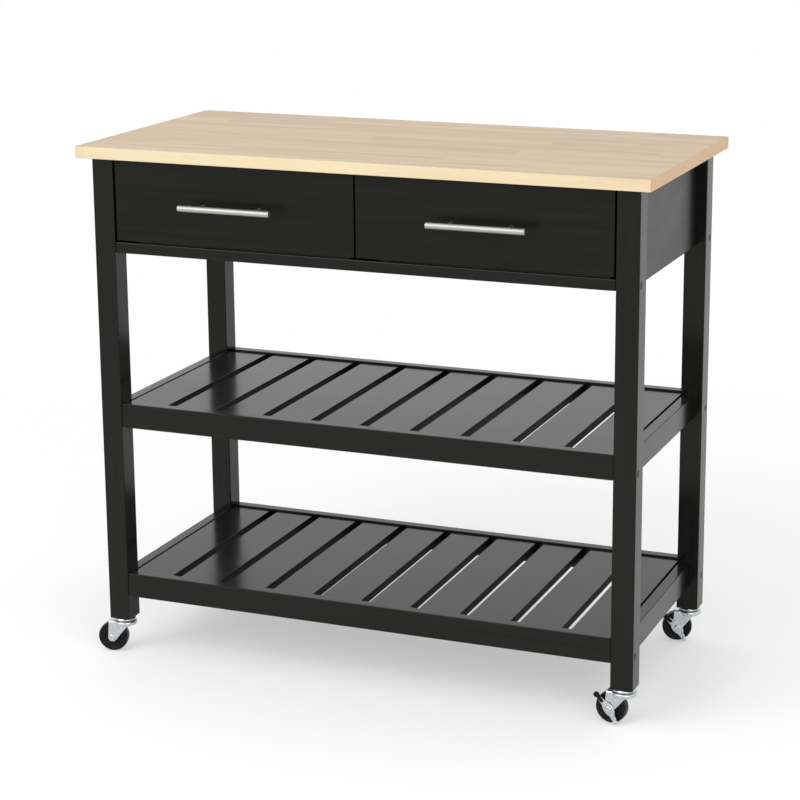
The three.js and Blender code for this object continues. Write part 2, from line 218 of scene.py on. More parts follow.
def rod(radius, start, end, edge, segments=32):
    """A round bar between two points, with its ends rounded over."""
    start, end = np.asarray(start, float), np.asarray(end, float)
    length = np.linalg.norm(end - start)
    third = (end - start) / length
    first = np.cross(third, (0.0, 0.0, 1.0) if abs(third[2]) < 0.9 else (1.0, 0.0, 0.0))
    first /= np.linalg.norm(first)
    profile = soften([(0, 0), (radius, 0), (radius, length), (0, length)], edge, ring=False)
    return turned(profile, start, (first, np.cross(third, first), third), segments)


def dome(radius, height, origin, axes, segments=32):
    """A round cap: its height falls from the middle as a quarter of an ellipse."""
    a = np.linspace(0, math.pi / 2, 7)
    profile = np.stack([radius * np.cos(a), height * np.sin(a)], -1)
    profile[-1, 0] = 0
    return turned(np.concatenate([[(0, 0)], profile]), origin, axes, segments)


# ---- Pieces ----

GRAIN_STEP = np.array([0.731, 0.417, 0.293])
GRAIN_ORDER = {"x": (0, 1, 2), "y": (1, 2, 0), "z": (2, 0, 1)}
SHARP_ANGLE = math.radians(38)
pieces_made = []


def make_piece(name, shells, finish, slot, body, grain="x"):
    """One mesh from its shells, riding on a body, with coordinates for the finish's grain.

    The grain attribute is each point's place with the grain's own direction put first, plus a
    step for each piece made so far, so that no two pieces show the same figure.
    """
    points, faces = [], []
    for shell_points, shell_faces in shells:
        faces += [[v + sum(map(len, points)) for v in face] for face in shell_faces]
        points.append(shell_points)
    points = np.concatenate(points)
    mesh = bpy.data.meshes.new(name)
    mesh.from_pydata(points.tolist(), [], faces)
    mesh.polygons.foreach_set("use_smooth", np.ones(len(mesh.polygons), bool))
    mesh.set_sharp_from_angle(angle=SHARP_ANGLE)
    along = points[:, GRAIN_ORDER[grain]] + GRAIN_STEP * len(pieces_made)
    attribute = mesh.attributes.new("grain", "FLOAT_VECTOR", "POINT")
    attribute.data.foreach_set("vector", along.astype(np.float32).reshape(-1))
    mesh.materials.append(finish)
    mesh.update()
    piece = bpy.data.objects.new(name, mesh)
    scene.collection.objects.link(piece)
    even = piece.modifiers.new("even_shading", "WEIGHTED_NORMAL")
    even.keep_sharp = True
    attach(piece, body)
    pieces_made.append(piece)
    return piece


def stand_for(node, name, shells, finish, slot, **more):
    """A piece that takes the place of one part of the frame."""
    piece = make_piece(name, shells, finish, slot, frame["nodes"][node]["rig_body"], **more)
    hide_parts(node)
    return piece


def corners(node):
    """A frame part's lowest and highest corners as arrays."""
    return tuple(np.array(v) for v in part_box(node))


ENDS, SIDES = ("front", "rear"), ("left", "right")
SIGN = {"left": -1, "right": 1, "front": -1, "rear": 1}

# ---- Finishes: helpers for writing node trees ----

MIX_AMOUNT, MIX_FIRST, MIX_SECOND, MIX_RESULT = 0, 6, 7, 2


def wire(tree, kind, values=None, **settings):
    """Adds a node, makes its settings, and fills or links its inputs by name or number."""
    node = tree.nodes.new(kind)
    for key, value in settings.items():
        setattr(node, key, value)
    for key, value in (values or {}).items():
        if isinstance(value, bpy.types.NodeSocket):
            tree.links.new(value, node.inputs[key])
        else:
            node.inputs[key].default_value = value
    return node


def calc(tree, operation, *values):
    """The result of one sum on numbers."""
    return wire(tree, "ShaderNodeMath", dict(enumerate(values)), operation=operation).outputs[0]


def span(tree, value, low, high, to_low=0.0, to_high=1.0):
    """A number carried from one span to another, held at its ends."""
    inputs = {0: value, 1: low, 2: high, 3: to_low, 4: to_high}
    return wire(tree, "ShaderNodeMapRange", inputs, clamp=True).outputs[0]


def vector_calc(tree, operation, first, second):
    """The result of one sum on two vectors."""
    node = wire(tree, "ShaderNodeVectorMath", {0: first, 1: second}, operation=operation)
    return node.outputs[0]


def stretch(tree, vector, factors):
    """A vector with each of its coordinates multiplied."""
    return vector_calc(tree, "MULTIPLY", vector, factors)


def noise(tree, vector, scale, detail=3.0, roughness=0.55):
    """Cloudy noise from 0 to 1."""
    values = {"Vector": vector, "Scale": scale, "Detail": detail, "Roughness": roughness}
    return wire(tree, "ShaderNodeTexNoise", values).outputs[0]


def blend_colours(tree, amount, first, second, blend="MIX"):
    """Two colours mixed by an amount."""
    values = {MIX_AMOUNT: amount, MIX_FIRST: first, MIX_SECOND: second}
    node = wire(tree, "ShaderNodeMix", values, data_type="RGBA", blend_type=blend)
    return node.outputs[MIX_RESULT]


def overlay(tree, mask, share, under, colour):
    """A colour laid over another by a share of a mask."""
    return blend_colours(tree, calc(tree, "MULTIPLY", mask, share), under, colour)


def new_group(name, inputs, outputs):
    """A shader node group, and the two nodes that stand for its inputs and outputs."""
    group = bpy.data.node_groups.new(name, "ShaderNodeTree")
    for title, kind, start in inputs:
        socket = group.interface.new_socket(title, in_out="INPUT", socket_type=kind)
        if start is not None:
            socket.default_value = start
    for title, kind in outputs:
        group.interface.new_socket(title, in_out="OUTPUT", socket_type=kind)
    return group, group.nodes.new("NodeGroupInput"), group.nodes.new("NodeGroupOutput")


def placed_group(tree, group, values):
    """A group placed in a tree, its inputs filled or linked; gives its outputs by name."""
    return wire(tree, "ShaderNodeGroup", values, node_tree=group).outputs


FLOAT, VECTOR = "NodeSocketFloat", "NodeSocketVector"

# ---- Finishes: effects that several of them share ----


def make_fibre_group():
    """Wood fibres along X: fine streaks, broad growth figure, and short dark pores."""
    group, given, result = new_group(
        "wood_fibres",
        [("Vector", VECTOR, None), ("Fineness", FLOAT, 1.0), ("Figure Scale", FLOAT, 1.0)],
        [("Streaks", FLOAT), ("Figure", FLOAT), ("Pores", FLOAT)],
    )
    vector, fineness = given.outputs["Vector"], given.outputs["Fineness"]
    drawn = stretch(group, vector, (4.0, 130.0, 130.0))
    streaks = noise(group, drawn, fineness, detail=4.0, roughness=0.62)
    wander = noise(group, stretch(group, vector, (1.6, 11.0, 11.0)), 1.0, detail=2.0)
    split = wire(group, "ShaderNodeSeparateXYZ", {0: vector})
    across = calc(group, "MULTIPLY", split.outputs[1], 190.0)
    across = calc(group, "MULTIPLY", across, given.outputs["Figure Scale"])
    phase = calc(group, "ADD", across, calc(group, "MULTIPLY", wander, 16.0))
    figure = calc(group, "MULTIPLY_ADD", calc(group, "SINE", phase), 0.5, 0.5)
    specks = noise(group, stretch(group, vector, (26.0, 900.0, 900.0)), fineness, detail=1.0)
    group.links.new(streaks, result.inputs["Streaks"])
    group.links.new(figure, result.inputs["Figure"])
    group.links.new(span(group, specks, 0.62, 0.74), result.inputs["Pores"])
    return group


def make_stave_group():
    """Edge-glued staves along X, butted end to end: a tone and a shift for each, and the seams.

    The first row across starts at zero, with a joint at zero; the others slip along by chance.
    """
    group, given, result = new_group(
        "glued_staves",
        [("Vector", VECTOR, None), ("Width", FLOAT, 0.04), ("Length", FLOAT, 0.4)],
        [("Tone", FLOAT), ("Shifted", VECTOR), ("Seam", FLOAT)],
    )
    split = wire(group, "ShaderNodeSeparateXYZ", {0: given.outputs["Vector"]})
    across = calc(group, "DIVIDE", split.outputs[1], given.outputs["Width"])
    row = calc(group, "ADD", calc(group, "FLOOR", across), 0.5)
    slips = [wire(group, "ShaderNodeTexWhiteNoise", {"W": w}, noise_dimensions="1D").outputs[0]
             for w in (row, 0.5)]
    slip = calc(group, "SUBTRACT", *slips)
    along = calc(group, "DIVIDE", split.outputs[0], given.outputs["Length"])
    along = calc(group, "ADD", along, calc(group, "MULTIPLY", slip, 7.0))
    column = calc(group, "FLOOR", along)
    place_id = wire(group, "ShaderNodeCombineXYZ", {0: column, 1: row, 2: 0.0}).outputs[0]
    own = wire(group, "ShaderNodeTexWhiteNoise", {"Vector": place_id}, noise_dimensions="3D")
    jump = stretch(group, own.outputs["Color"], (5.0, 3.0, 3.0))
    moved = vector_calc(group, "ADD", given.outputs["Vector"], jump)
    seams = []
    for value, size in ((across, given.outputs["Width"]), (along, given.outputs["Length"])):
        part = calc(group, "FRACT", value)
        to_middle = calc(group, "ABSOLUTE", calc(group, "SUBTRACT", part, 0.5))
        gap = calc(group, "MULTIPLY", calc(group, "SUBTRACT", 0.5, to_middle), size)
        seams.append(span(group, gap, 0.2 * MM, 0.7 * MM, 1.0, 0.0))
    group.links.new(own.outputs["Value"], result.inputs["Tone"])
    group.links.new(moved, result.inputs["Shifted"])
    group.links.new(calc(group, "MAXIMUM", *seams), result.inputs["Seam"])
    return group


def make_handling_group():
    """Signs of use: soft smears, fine dust specks, and thin scratches in all directions."""
    group, given, result = new_group(
        "handling_marks",
        [("Vector", VECTOR, None), ("Scale", FLOAT, 1.0)],
        [("Smears", FLOAT), ("Dust", FLOAT), ("Scratches", FLOAT)],
    )
    vector = wire(
        group, "ShaderNodeVectorMath",
        {0: given.outputs["Vector"], "Scale": given.outputs["Scale"]}, operation="SCALE",
    ).outputs[0]
    smears = noise(group, stretch(group, vector, (9.0, 14.0, 6.0)), 1.0, detail=4.0)
    dust = noise(group, vector, 900.0, detail=1.0)
    warp = noise(group, vector, 3.0, detail=1.0)
    lines = []
    for factors in ((500.0, 9.0, 60.0), (12.0, 420.0, 30.0)):
        drawn = vector_calc(group, "ADD", stretch(group, vector, factors), warp)
        lines.append(span(group, noise(group, drawn, 1.0, detail=0.0), 0.74, 0.8))
    group.links.new(smears, result.inputs["Smears"])
    group.links.new(span(group, dust, 0.66, 0.8), result.inputs["Dust"])
    group.links.new(calc(group, "MAXIMUM", *lines), result.inputs["Scratches"])
    return group


wood_fibres = make_fibre_group()
glued_staves = make_stave_group()
handling_marks = make_handling_group()

# ---- Finishes: the materials that the pieces wear ----


def start_finish(name, **constants):
    """A material with its shader, the constants set on the shader's own inputs."""
    material = bpy.data.materials.new(name)
    material.use_nodes = True
    tree = material.node_tree
    shader = tree.nodes["Principled BSDF"]
    for key, value in constants.items():
        shader.inputs[key.replace("_", " ")].default_value = value
    return material, tree, shader


def grain_vector(tree):
    """Coordinates whose X runs along each piece's own grain."""
    return wire(tree, "ShaderNodeAttribute", attribute_name="grain").outputs["Vector"]


def object_vector(tree):
    """Coordinates in the piece's own frame, which is the cart's."""
    return wire(tree, "ShaderNodeTexCoord").outputs["Object"]


def facing(tree, axis):
    """How far the surface faces along an axis, from -1 to 1."""
    normal = wire(tree, "ShaderNodeTexCoord").outputs["Normal"]
    return wire(tree, "ShaderNodeSeparateXYZ", {0: normal}).outputs[axis]


def across_ends(tree, axis):
    """A mask that is 1 where the surface faces either way along an axis."""
    return span(tree, calc(tree, "ABSOLUTE", facing(tree, axis)), 0.6, 0.9)


def raise_surface(tree, shader, height, distance, strength=1.0):
    """Bumps the shader's surface by a height from 0 to 1 times the distance."""
    bump = wire(tree, "ShaderNodeBump", {
        "Height": height, "Distance": distance, "Strength": strength,
    })
    tree.links.new(bump.outputs[0], shader.inputs["Normal"])


STAVE_WIDTH, STAVE_LENGTH, FIRST_JOINT = 37.5 * MM, 480 * MM, 16 * MM
STAVE_PALE, STAVE_DARK = (0.590, 0.462, 0.290, 1), (0.515, 0.364, 0.234, 1)
STAVE_STREAK, STAVE_BAND = (0.635, 0.510, 0.342, 1), (0.455, 0.320, 0.215, 1)
STAVE_FIGURE, STAVE_PORE = (0.470, 0.315, 0.183, 1), (0.36, 0.22, 0.12, 1)
STAVE_SEAM = (0.38, 0.24, 0.13, 1)
END_DARK, END_PALE = (0.50, 0.300, 0.155, 1), (0.70, 0.470, 0.270, 1)
# Painted light: the long edges' colour is multiplied by this, so they read paler and yellower than
# the top.
LONG_EDGE_PAINTED_LIGHT = (1.40, 1.60, 1.68, 1)


def make_butcher_block():
    """Satin-lacquered pale staves: a tone for each stave, fibres, pores, seams and end grain, and
    painted light on the long edges.
    """
    material, tree, shader = start_finish("butcher_block_satin")
    vector = grain_vector(tree)
    start = corners("table_top")[0] + (FIRST_JOINT, 0.0, 0.0)
    laid = vector_calc(tree, "SUBTRACT", vector, tuple(start))
    staves = placed_group(tree, glued_staves, {
        "Vector": laid, "Width": STAVE_WIDTH, "Length": STAVE_LENGTH,
    })
    fibres = placed_group(tree, wood_fibres, {
        "Vector": staves["Shifted"], "Fineness": 1.0, "Figure Scale": 0.8,
    })
    marks = placed_group(tree, handling_marks, {"Vector": vector, "Scale": 1.0})
    colour = blend_colours(tree, span(tree, staves["Tone"], 0.0, 1.0), STAVE_PALE, STAVE_DARK)
    streaks = span(tree, fibres["Streaks"], 0.38, 0.66, 0.0, 0.75)
    colour = blend_colours(tree, streaks, colour, STAVE_STREAK)
    bands = noise(tree, stretch(tree, staves["Shifted"], (2.2, 42.0, 42.0)), 1.0, detail=3.0)
    bands = span(tree, bands, 0.46, 0.66, 0.0, 0.5)
    colour = blend_colours(tree, bands, colour, STAVE_BAND)
    colour = overlay(tree, fibres["Figure"], 0.16, colour, STAVE_FIGURE)
    colour = overlay(tree, fibres["Pores"], 0.35, colour, STAVE_PORE)
    colour = overlay(tree, staves["Seam"], 0.45, colour, STAVE_SEAM)
    # Painted light: faces that look front or back, the long edges, are made paler and yellower,
    # standing in for strong front light.
    painted_edge_light = blend_colours(tree, 1.0, colour, LONG_EDGE_PAINTED_LIGHT, blend="MULTIPLY")
    colour = blend_colours(tree, across_ends(tree, 1), colour, painted_edge_light)
    rings = noise(tree, stretch(tree, staves["Shifted"], (1.0, 160.0, 700.0)), 1.0, detail=3.0)
    end_grain = blend_colours(tree, span(tree, rings, 0.35, 0.65), END_DARK, END_PALE)
    colour = blend_colours(tree, across_ends(tree, 0), colour, end_grain)
    tree.links.new(colour, shader.inputs["Base Color"])
    rough = calc(tree, "MULTIPLY_ADD", marks["Smears"], 0.06,
                 span(tree, fibres["Streaks"], 0.3, 0.7, 0.40, 0.48))
    tree.links.new(rough, shader.inputs["Roughness"])
    sunk = calc(tree, "MAXIMUM", calc(tree, "MULTIPLY", fibres["Pores"], 0.4), staves["Seam"])
    height = calc(tree, "SUBTRACT", calc(tree, "MULTIPLY", fibres["Streaks"], 0.5), sunk)
    raise_surface(tree, shader, height, 0.12 * MM, 0.5)
    return material


FULL_SHEEN, SAWN_SHARE, SAWN_ROUGHNESS = 0.42, 0.3, 0.35
PANEL_SHEEN, PANEL_SOFTNESS = 0.33, 0.10
PAINT_DEEP, PAINT_WORN = (0.0030, 0.0030, 0.0027, 1), (0.0062, 0.0062, 0.0056, 1)
PAINT_DUST, PAINT_TINT = (0.09, 0.088, 0.082, 1), (1.0, 0.985, 0.94, 1)


def make_black_paint(name, level=FULL_SHEEN, softness=0.0, sawn_edges=False):
    """Semi-gloss black on wood: the fibres show a little through the paint film.

    Sawn edges, which face along X, drink the paint and keep only a share of the sheen.
    """
    material, tree, shader = start_finish(
        name, IOR=1.34, Specular_IOR_Level=level, Specular_Tint=PAINT_TINT
    )
    vector = grain_vector(tree)
    fibres = placed_group(tree, wood_fibres, {
        "Vector": vector, "Fineness": 1.0, "Figure Scale": 0.6,
    })
    marks = placed_group(tree, handling_marks, {"Vector": vector, "Scale": 1.0})
    film = span(tree, fibres["Streaks"], 0.3, 0.7)
    colour = blend_colours(tree, film, PAINT_DEEP, PAINT_WORN)
    colour = overlay(tree, marks["Dust"], 0.03, colour, PAINT_DUST)
    tree.links.new(colour, shader.inputs["Base Color"])
    rough = calc(tree, "MULTIPLY_ADD", fibres["Streaks"], 0.04,
                 span(tree, marks["Smears"], 0.3, 0.7, 0.14 + softness, 0.21 + softness))
    if sawn_edges:
        at_edge = across_ends(tree, 0)
        sheen = span(tree, at_edge, 0.0, 1.0, level, level * SAWN_SHARE)
        tree.links.new(sheen, shader.inputs["Specular IOR Level"])
        rough = calc(tree, "MULTIPLY_ADD", at_edge, SAWN_ROUGHNESS, rough)
    tree.links.new(rough, shader.inputs["Roughness"])
    height = calc(tree, "MULTIPLY_ADD", fibres["Figure"], 0.12,
                  calc(tree, "MULTIPLY", fibres["Streaks"], 0.7))
    raise_surface(tree, shader, height, 0.06 * MM, 0.25)
    return material


DRAWER_DARK, DRAWER_PALE = (0.52, 0.37, 0.21, 1), (0.68, 0.52, 0.33, 1)
DRAWER_FIGURE, DRAWER_PORE = (0.46, 0.30, 0.16, 1), (0.32, 0.20, 0.11, 1)
# Painted shade for the drawer undersides: near-black, a little lighter along the fibres.
UNDERSIDE_SHADE_DEEP, UNDERSIDE_SHADE_STREAK = (0.006, 0.006, 0.006, 1), (0.016, 0.015, 0.014, 1)


def make_pale_wood():
    """Drawer wood: pale, lightly sealed, with fibres and pores; undersides are darkened to
    near-black, a painted shade.
    """
    material, tree, shader = start_finish("drawer_wood_sealed")
    vector = grain_vector(tree)
    fibres = placed_group(tree, wood_fibres, {
        "Vector": vector, "Fineness": 1.0, "Figure Scale": 0.5,
    })
    marks = placed_group(tree, handling_marks, {"Vector": vector, "Scale": 1.0})
    streaks = span(tree, fibres["Streaks"], 0.3, 0.7)
    colour = blend_colours(tree, streaks, DRAWER_DARK, DRAWER_PALE)
    colour = overlay(tree, fibres["Figure"], 0.3, colour, DRAWER_FIGURE)
    colour = overlay(tree, fibres["Pores"], 0.4, colour, DRAWER_PORE)
    # Painted shade: faces that look down are darkened to near-black, so no pale wood shows in the
    # gap under the drawer fronts.
    painted_underside_shade = blend_colours(tree, fibres["Streaks"], UNDERSIDE_SHADE_DEEP, UNDERSIDE_SHADE_STREAK)
    underside = span(tree, facing(tree, 2), -0.9, -0.6, 1.0, 0.0)
    colour = blend_colours(tree, underside, colour, painted_underside_shade)
    tree.links.new(colour, shader.inputs["Base Color"])
    rough = span(tree, marks["Smears"], 0.3, 0.7, 0.55, 0.72)
    tree.links.new(rough, shader.inputs["Roughness"])
    raise_surface(tree, shader, fibres["Streaks"], 0.2 * MM, 0.5)
    return material


STEEL_DARK, STEEL_PALE = (0.31, 0.302, 0.288, 1), (0.52, 0.508, 0.49, 1)
ZINC_DARK, ZINC_PALE, ZINC_SCRATCH = (
    (0.46, 0.49, 0.51, 1), (0.63, 0.66, 0.675, 1), (0.42, 0.44, 0.46, 1)
)
WHEEL_BLACK, WHEEL_DUST = (0.004, 0.004, 0.004, 1), (0.06, 0.058, 0.055, 1)


def make_brushed_steel():
    """Brushed steel: fine lines along the bar, smears and a few scratches."""
    material, tree, shader = start_finish("brushed_steel_bar", Metallic=1.0)
    vector = grain_vector(tree)
    lines = noise(tree, stretch(tree, vector, (18.0, 2600.0, 2600.0)), 1.0, detail=2.0)
    marks = placed_group(tree, handling_marks, {"Vector": vector, "Scale": 3.0})
    colour = blend_colours(tree, lines, STEEL_DARK, STEEL_PALE)
    tree.links.new(colour, shader.inputs["Base Color"])
    rough = calc(tree, "MULTIPLY_ADD", marks["Smears"], 0.06,
                 span(tree, lines, 0.3, 0.7, 0.36, 0.50))
    tree.links.new(rough, shader.inputs["Roughness"])
    raise_surface(tree, shader, calc(tree, "SUBTRACT", lines, marks["Scratches"]), 0.02 * MM, 0.5)
    return material


def make_zinc_plate():
    """Bright zinc plate: a faint mottle in colour and gloss, with scratches."""
    material, tree, shader = start_finish("zinc_plate_bright", Metallic=1.0)
    vector = object_vector(tree)
    mottle = noise(tree, vector, 260.0, detail=3.0)
    marks = placed_group(tree, handling_marks, {"Vector": vector, "Scale": 4.0})
    colour = blend_colours(tree, span(tree, mottle, 0.3, 0.7), ZINC_DARK, ZINC_PALE)
    colour = overlay(tree, marks["Scratches"], 0.4, colour, ZINC_SCRATCH)
    tree.links.new(colour, shader.inputs["Base Color"])
    tree.links.new(span(tree, mottle, 0.3, 0.7, 0.16, 0.30), shader.inputs["Roughness"])
    raise_surface(tree, shader, mottle, 0.06 * MM, 0.3)
    return material


def make_black_wheel():
    """Moulded black: glossy, with scuffs and dust from the floor."""
    material, tree, shader = start_finish(
        "moulded_black_wheel", IOR=1.36, Specular_IOR_Level=0.28
    )
    vector = object_vector(tree)
    marks = placed_group(tree, handling_marks, {"Vector": vector, "Scale": 4.0})
    colour = overlay(tree, marks["Dust"], 0.12, WHEEL_BLACK, WHEEL_DUST)
    tree.links.new(colour, shader.inputs["Base Color"])
    tree.links.new(span(tree, marks["Smears"], 0.3, 0.7, 0.18, 0.34), shader.inputs["Roughness"])
    raise_surface(tree, shader, calc(tree, "SUBTRACT", marks["Smears"], marks["Scratches"]),
                  0.06 * MM, 0.3)
    return material


butcher_block = make_butcher_block()
black_paint = make_black_paint("black_paint_semigloss")
slat_paint = make_black_paint("black_paint_sawn_edges", sawn_edges=True)
panel_paint = make_black_paint("black_paint_panels", PANEL_SHEEN, PANEL_SOFTNESS)
pale_wood = make_pale_wood()
brushed_steel = make_brushed_steel()
zinc_plate = make_zinc_plate()
black_wheel = make_black_wheel()

# ---- Top ----

stand_for("table_top", "butcher_block_top",
          [board(*corners("table_top"), edge=1.6 * MM, corner=3 * MM, steps=4)],
          butcher_block, "butcher_block")

# ---- Legs and the bolt caps in their outer faces ----

CAP_INSET = {"front": 13 * MM, "rear": 10 * MM}
CAP_RADIUS, CAP_HEIGHT = 6 * MM, 0.9 * MM
CAP_ROOT = 2 * MM
CAP_OVER_RAIL = {
    "drawer_rail": 9 * MM,
    "middle_shelf_front_rail": 11.5 * MM,
    "lower_shelf_front_rail": 11.5 * MM,
}
LEG_EDGE = 1.5 * MM

cap_heights = [corners(rail)[0][2] + over for rail, over in CAP_OVER_RAIL.items()]

for end in ENDS:
    for side in SIDES:
        low, high = corners(f"leg_{end}_{side}")
        stand_for(f"leg_{end}_{side}", f"painted_leg_{end}_{side}",
                  [board(low, high, edge=LEG_EDGE)], black_paint, "black_paint", grain="z")
        outer_x = low[0] if side == "left" else high[0]
        outer_y = low[1] if end == "front" else high[1]
        axes = ((0, 1, 0), (0, 0, 1), (SIGN[side], 0, 0))
        caps = []
        for z in cap_heights:
            where = (outer_x, outer_y - SIGN[end] * CAP_INSET[end], z)
            profile = soften([(0, -CAP_ROOT), (CAP_RADIUS, -CAP_ROOT),
                              (CAP_RADIUS, 0.4 * CAP_HEIGHT), (0.62 * CAP_RADIUS, CAP_HEIGHT),
                              (0, CAP_HEIGHT)], 0.4 * MM, ring=False)
            caps.append(turned(profile, where, axes, 32))
        make_piece(f"bolt_caps_{end}_{side}", caps, black_paint, "black_paint", "cart_frame")

# ---- Aprons, drawer rail and divider ----

RUNNER_PLAY, RUNNER_HEIGHT, RUNNER_EDGE = 0.5 * MM, 12 * MM, 0.8 * MM
LET_IN = 2 * MM
DIVIDER_HALF, RAIL_EDGE = 6 * MM, 2 * MM

for side in SIDES:
    low, high = corners(f"side_apron_{side}")
    outer = low[0] if side == "left" else high[0]
    rail_low, rail_high = corners(f"middle_shelf_{side}_rail")
    inner = outer - SIGN[side] * (rail_high[0] - rail_low[0])
    runner_end = high[0] if side == "left" else low[0]
    runner_high = corners(f"drawer_box_{side}")[0][2] - RUNNER_PLAY
    panel = board((outer, low[1], low[2]), (inner, high[1], high[2]))
    runner = board((inner + SIGN[side] * LET_IN, low[1] + 1.5 * MM, runner_high - RUNNER_HEIGHT),
                   (runner_end, high[1] - 1.2 * MM, runner_high), edge=RUNNER_EDGE)
    stand_for(f"side_apron_{side}", f"painted_side_apron_{side}", [panel, runner],
              panel_paint, "black_paint", grain="y")

stand_for("rear_apron", "painted_rear_apron", [board(*corners("rear_apron"))],
          black_paint, "black_paint")
stand_for("drawer_rail", "painted_drawer_rail",
          [board(*corners("drawer_rail"), edge=RAIL_EDGE)], black_paint, "black_paint")

low, high = corners("drawer_divider")
runner_high = corners("drawer_box_left")[0][2] - RUNNER_PLAY
stand_for("drawer_divider", "painted_drawer_divider", [
    board((-DIVIDER_HALF, low[1], low[2]), (DIVIDER_HALF, high[1], high[2]), edge=0.6 * MM),
    board(low, (high[0], high[1], runner_high), edge=RUNNER_EDGE),
], black_paint, "black_paint", grain="y")

# ---- Shelves ----

SLAT_NUMBERS = range(1, 11)
SHELF_RAIL_THICKNESS, LEDGE_THICKNESS = 18 * MM, 14 * MM
LEDGE_PLAY, LEDGE_LET_IN, SLAT_EDGE = 0.3 * MM, 3 * MM, 0.6 * MM
SCREW_RADIUS, SCREW_HEIGHT, SCREW_SUNK = 3.2 * MM, 1.1 * MM, 0.1 * MM
FACING_DOWN = ((1, 0, 0), (0, -1, 0), (0, 0, -1))


def make_shelf(shelf):
    """The rails with their ledges, the side rails, the slats and the screws under them."""
    slats = {i: corners(f"{shelf}_slat_{i}") for i in SLAT_NUMBERS}
    left, right = slats[SLAT_NUMBERS[0]][0], slats[SLAT_NUMBERS[-1]][1]
    ledge_high = left[2] - LEDGE_PLAY
    ledge_low = ledge_high - LEDGE_THICKNESS
    screws = []
    for end in ENDS:
        low, high = corners(f"{shelf}_{end}_rail")
        outer, reach = (low[1], high[1]) if end == "front" else (high[1], low[1])
        inward = -SIGN[end]
        inner = outer + inward * SHELF_RAIL_THICKNESS
        rail = board((low[0], outer, low[2]), (high[0], inner, high[2]))
        ledge = board((left[0], inner - inward * LEDGE_LET_IN, ledge_low),
                      (right[0], reach, ledge_high), edge=RUNNER_EDGE)
        stand_for(f"{shelf}_{end}_rail", f"painted_{shelf}_{end}_rail", [rail, ledge],
                  black_paint, "black_paint")
        for slat_low, slat_high in slats.values():
            where = ((slat_low[0] + slat_high[0]) / 2, (inner + reach) / 2, ledge_low + SCREW_SUNK)
            screws.append(dome(SCREW_RADIUS, SCREW_HEIGHT, where, FACING_DOWN, 14))
    make_piece(f"{shelf}_screws", screws, zinc_plate, "zinc_plate", "cart_frame")
    for side in SIDES:
        stand_for(f"{shelf}_{side}_rail", f"painted_{shelf}_{side}_rail",
                  [board(*corners(f"{shelf}_{side}_rail"))], black_paint, "black_paint",
                  grain="y")
    for i, slat in slats.items():
        stand_for(f"{shelf}_slat_{i}", f"painted_{shelf}_slat_{i}",
                  [board(*slat, edge=SLAT_EDGE)], slat_paint, "black_paint", grain="y")


make_shelf("middle_shelf")
make_shelf("lower_shelf")

# ---- Drawers ----

PULL_RADIUS, POST_RADIUS, POST_OFFSET = 5 * MM, 3 * MM, 48 * MM
BOX_WALL, WALL_EDGE, WALL_GAP = 12 * MM, 1 * MM, 0.1 * MM
FRONT_EDGE, BOTTOM_EDGE = 1.5 * MM, 0.5 * MM
PULL_SCREW_RADIUS, PULL_SCREW_HEIGHT = 4 * MM, 2 * MM
FACING_BACK = ((0, 0, 1), (1, 0, 0), (0, 1, 0))


def make_drawer(side):
    """The painted front, the pale box in three boards with its bottom, and the bar pull."""
    front_low, front_high = corners(f"drawer_front_{side}")
    stand_for(f"drawer_front_{side}", f"painted_drawer_front_{side}",
              [board(front_low, front_high, edge=FRONT_EDGE)], panel_paint, "black_paint")
    low, high = corners(f"drawer_box_{side}")
    back = high[1] - BOX_WALL
    walls = [
        board(low, (low[0] + BOX_WALL, back - WALL_GAP, high[2]), edge=WALL_EDGE),
        board((high[0] - BOX_WALL, low[1], low[2]), (high[0], back - WALL_GAP, high[2]),
              edge=WALL_EDGE),
        board((low[0], back, low[2]), high, edge=WALL_EDGE),
    ]
    stand_for(f"drawer_box_{side}", f"drawer_box_walls_{side}", walls, pale_wood, "pale_wood",
              grain="y")
    stand_for(f"drawer_bottom_{side}", f"drawer_bottom_panel_{side}",
              [board(*corners(f"drawer_bottom_{side}"), edge=BOTTOM_EDGE)],
              pale_wood, "pale_wood")
    low, high = corners(f"pull_{side}")
    x, z = (low[0] + high[0]) / 2, (low[2] + high[2]) / 2
    bar_y = low[1] + PULL_RADIUS
    shells = [rod(PULL_RADIUS, (low[0], bar_y, z), (high[0], bar_y, z), 0.9 * MM, 40)]
    screws = []
    for sign in (-1, 1):
        post_x = x + sign * POST_OFFSET
        shells.append(rod(POST_RADIUS, (post_x, bar_y, z), (post_x, high[1], z), 0.3 * MM))
        where = (post_x, front_high[1] - SCREW_SUNK, z)
        screws.append(dome(PULL_SCREW_RADIUS, PULL_SCREW_HEIGHT, where, FACING_BACK, 24))
    stand_for(f"pull_{side}", f"bar_pull_{side}", shells, brushed_steel, "brushed_steel")
    make_piece(f"pull_screws_{side}", screws, zinc_plate, "zinc_plate", f"drawer_{side}")


for side in SIDES:
    make_drawer(side)

# ---- Casters ----

AXLE_BACK, AXLE_HIGH = 20 * MM, 25 * MM
RACE_LOW, RACE_HIGH = 54.7 * MM, 59.6 * MM
CROWN_HIGH, CROWN_LOW = 54.4 * MM, 51.7 * MM
CHEEK_INNER, CHEEK_OUTER, CHEEK_LOW, CHEEK_BEND = 10 * MM, 12.3 * MM, 18 * MM, 4 * MM
BOSS_RADIUS, HEEL_X, TOE_X = 7 * MM, -25 * MM, 10 * MM
WHEEL_SIDE, SKIRT_SIDE, SHALLOW = math.radians(34), math.radians(60), 0.34
LEVER_SPACE, LEVER_PLAY, LEVER_DEPTH = 3.1 * MM, 0.3 * MM, 2.5 * MM
joints = {j["name"]: j for j in frame["joints"]}


def axle_of(origin, axes):
    """Where a caster's axle crosses the wheel's middle."""
    return origin + place((-AXLE_BACK, 0, AXLE_HIGH), (0, 0, 0), axes)


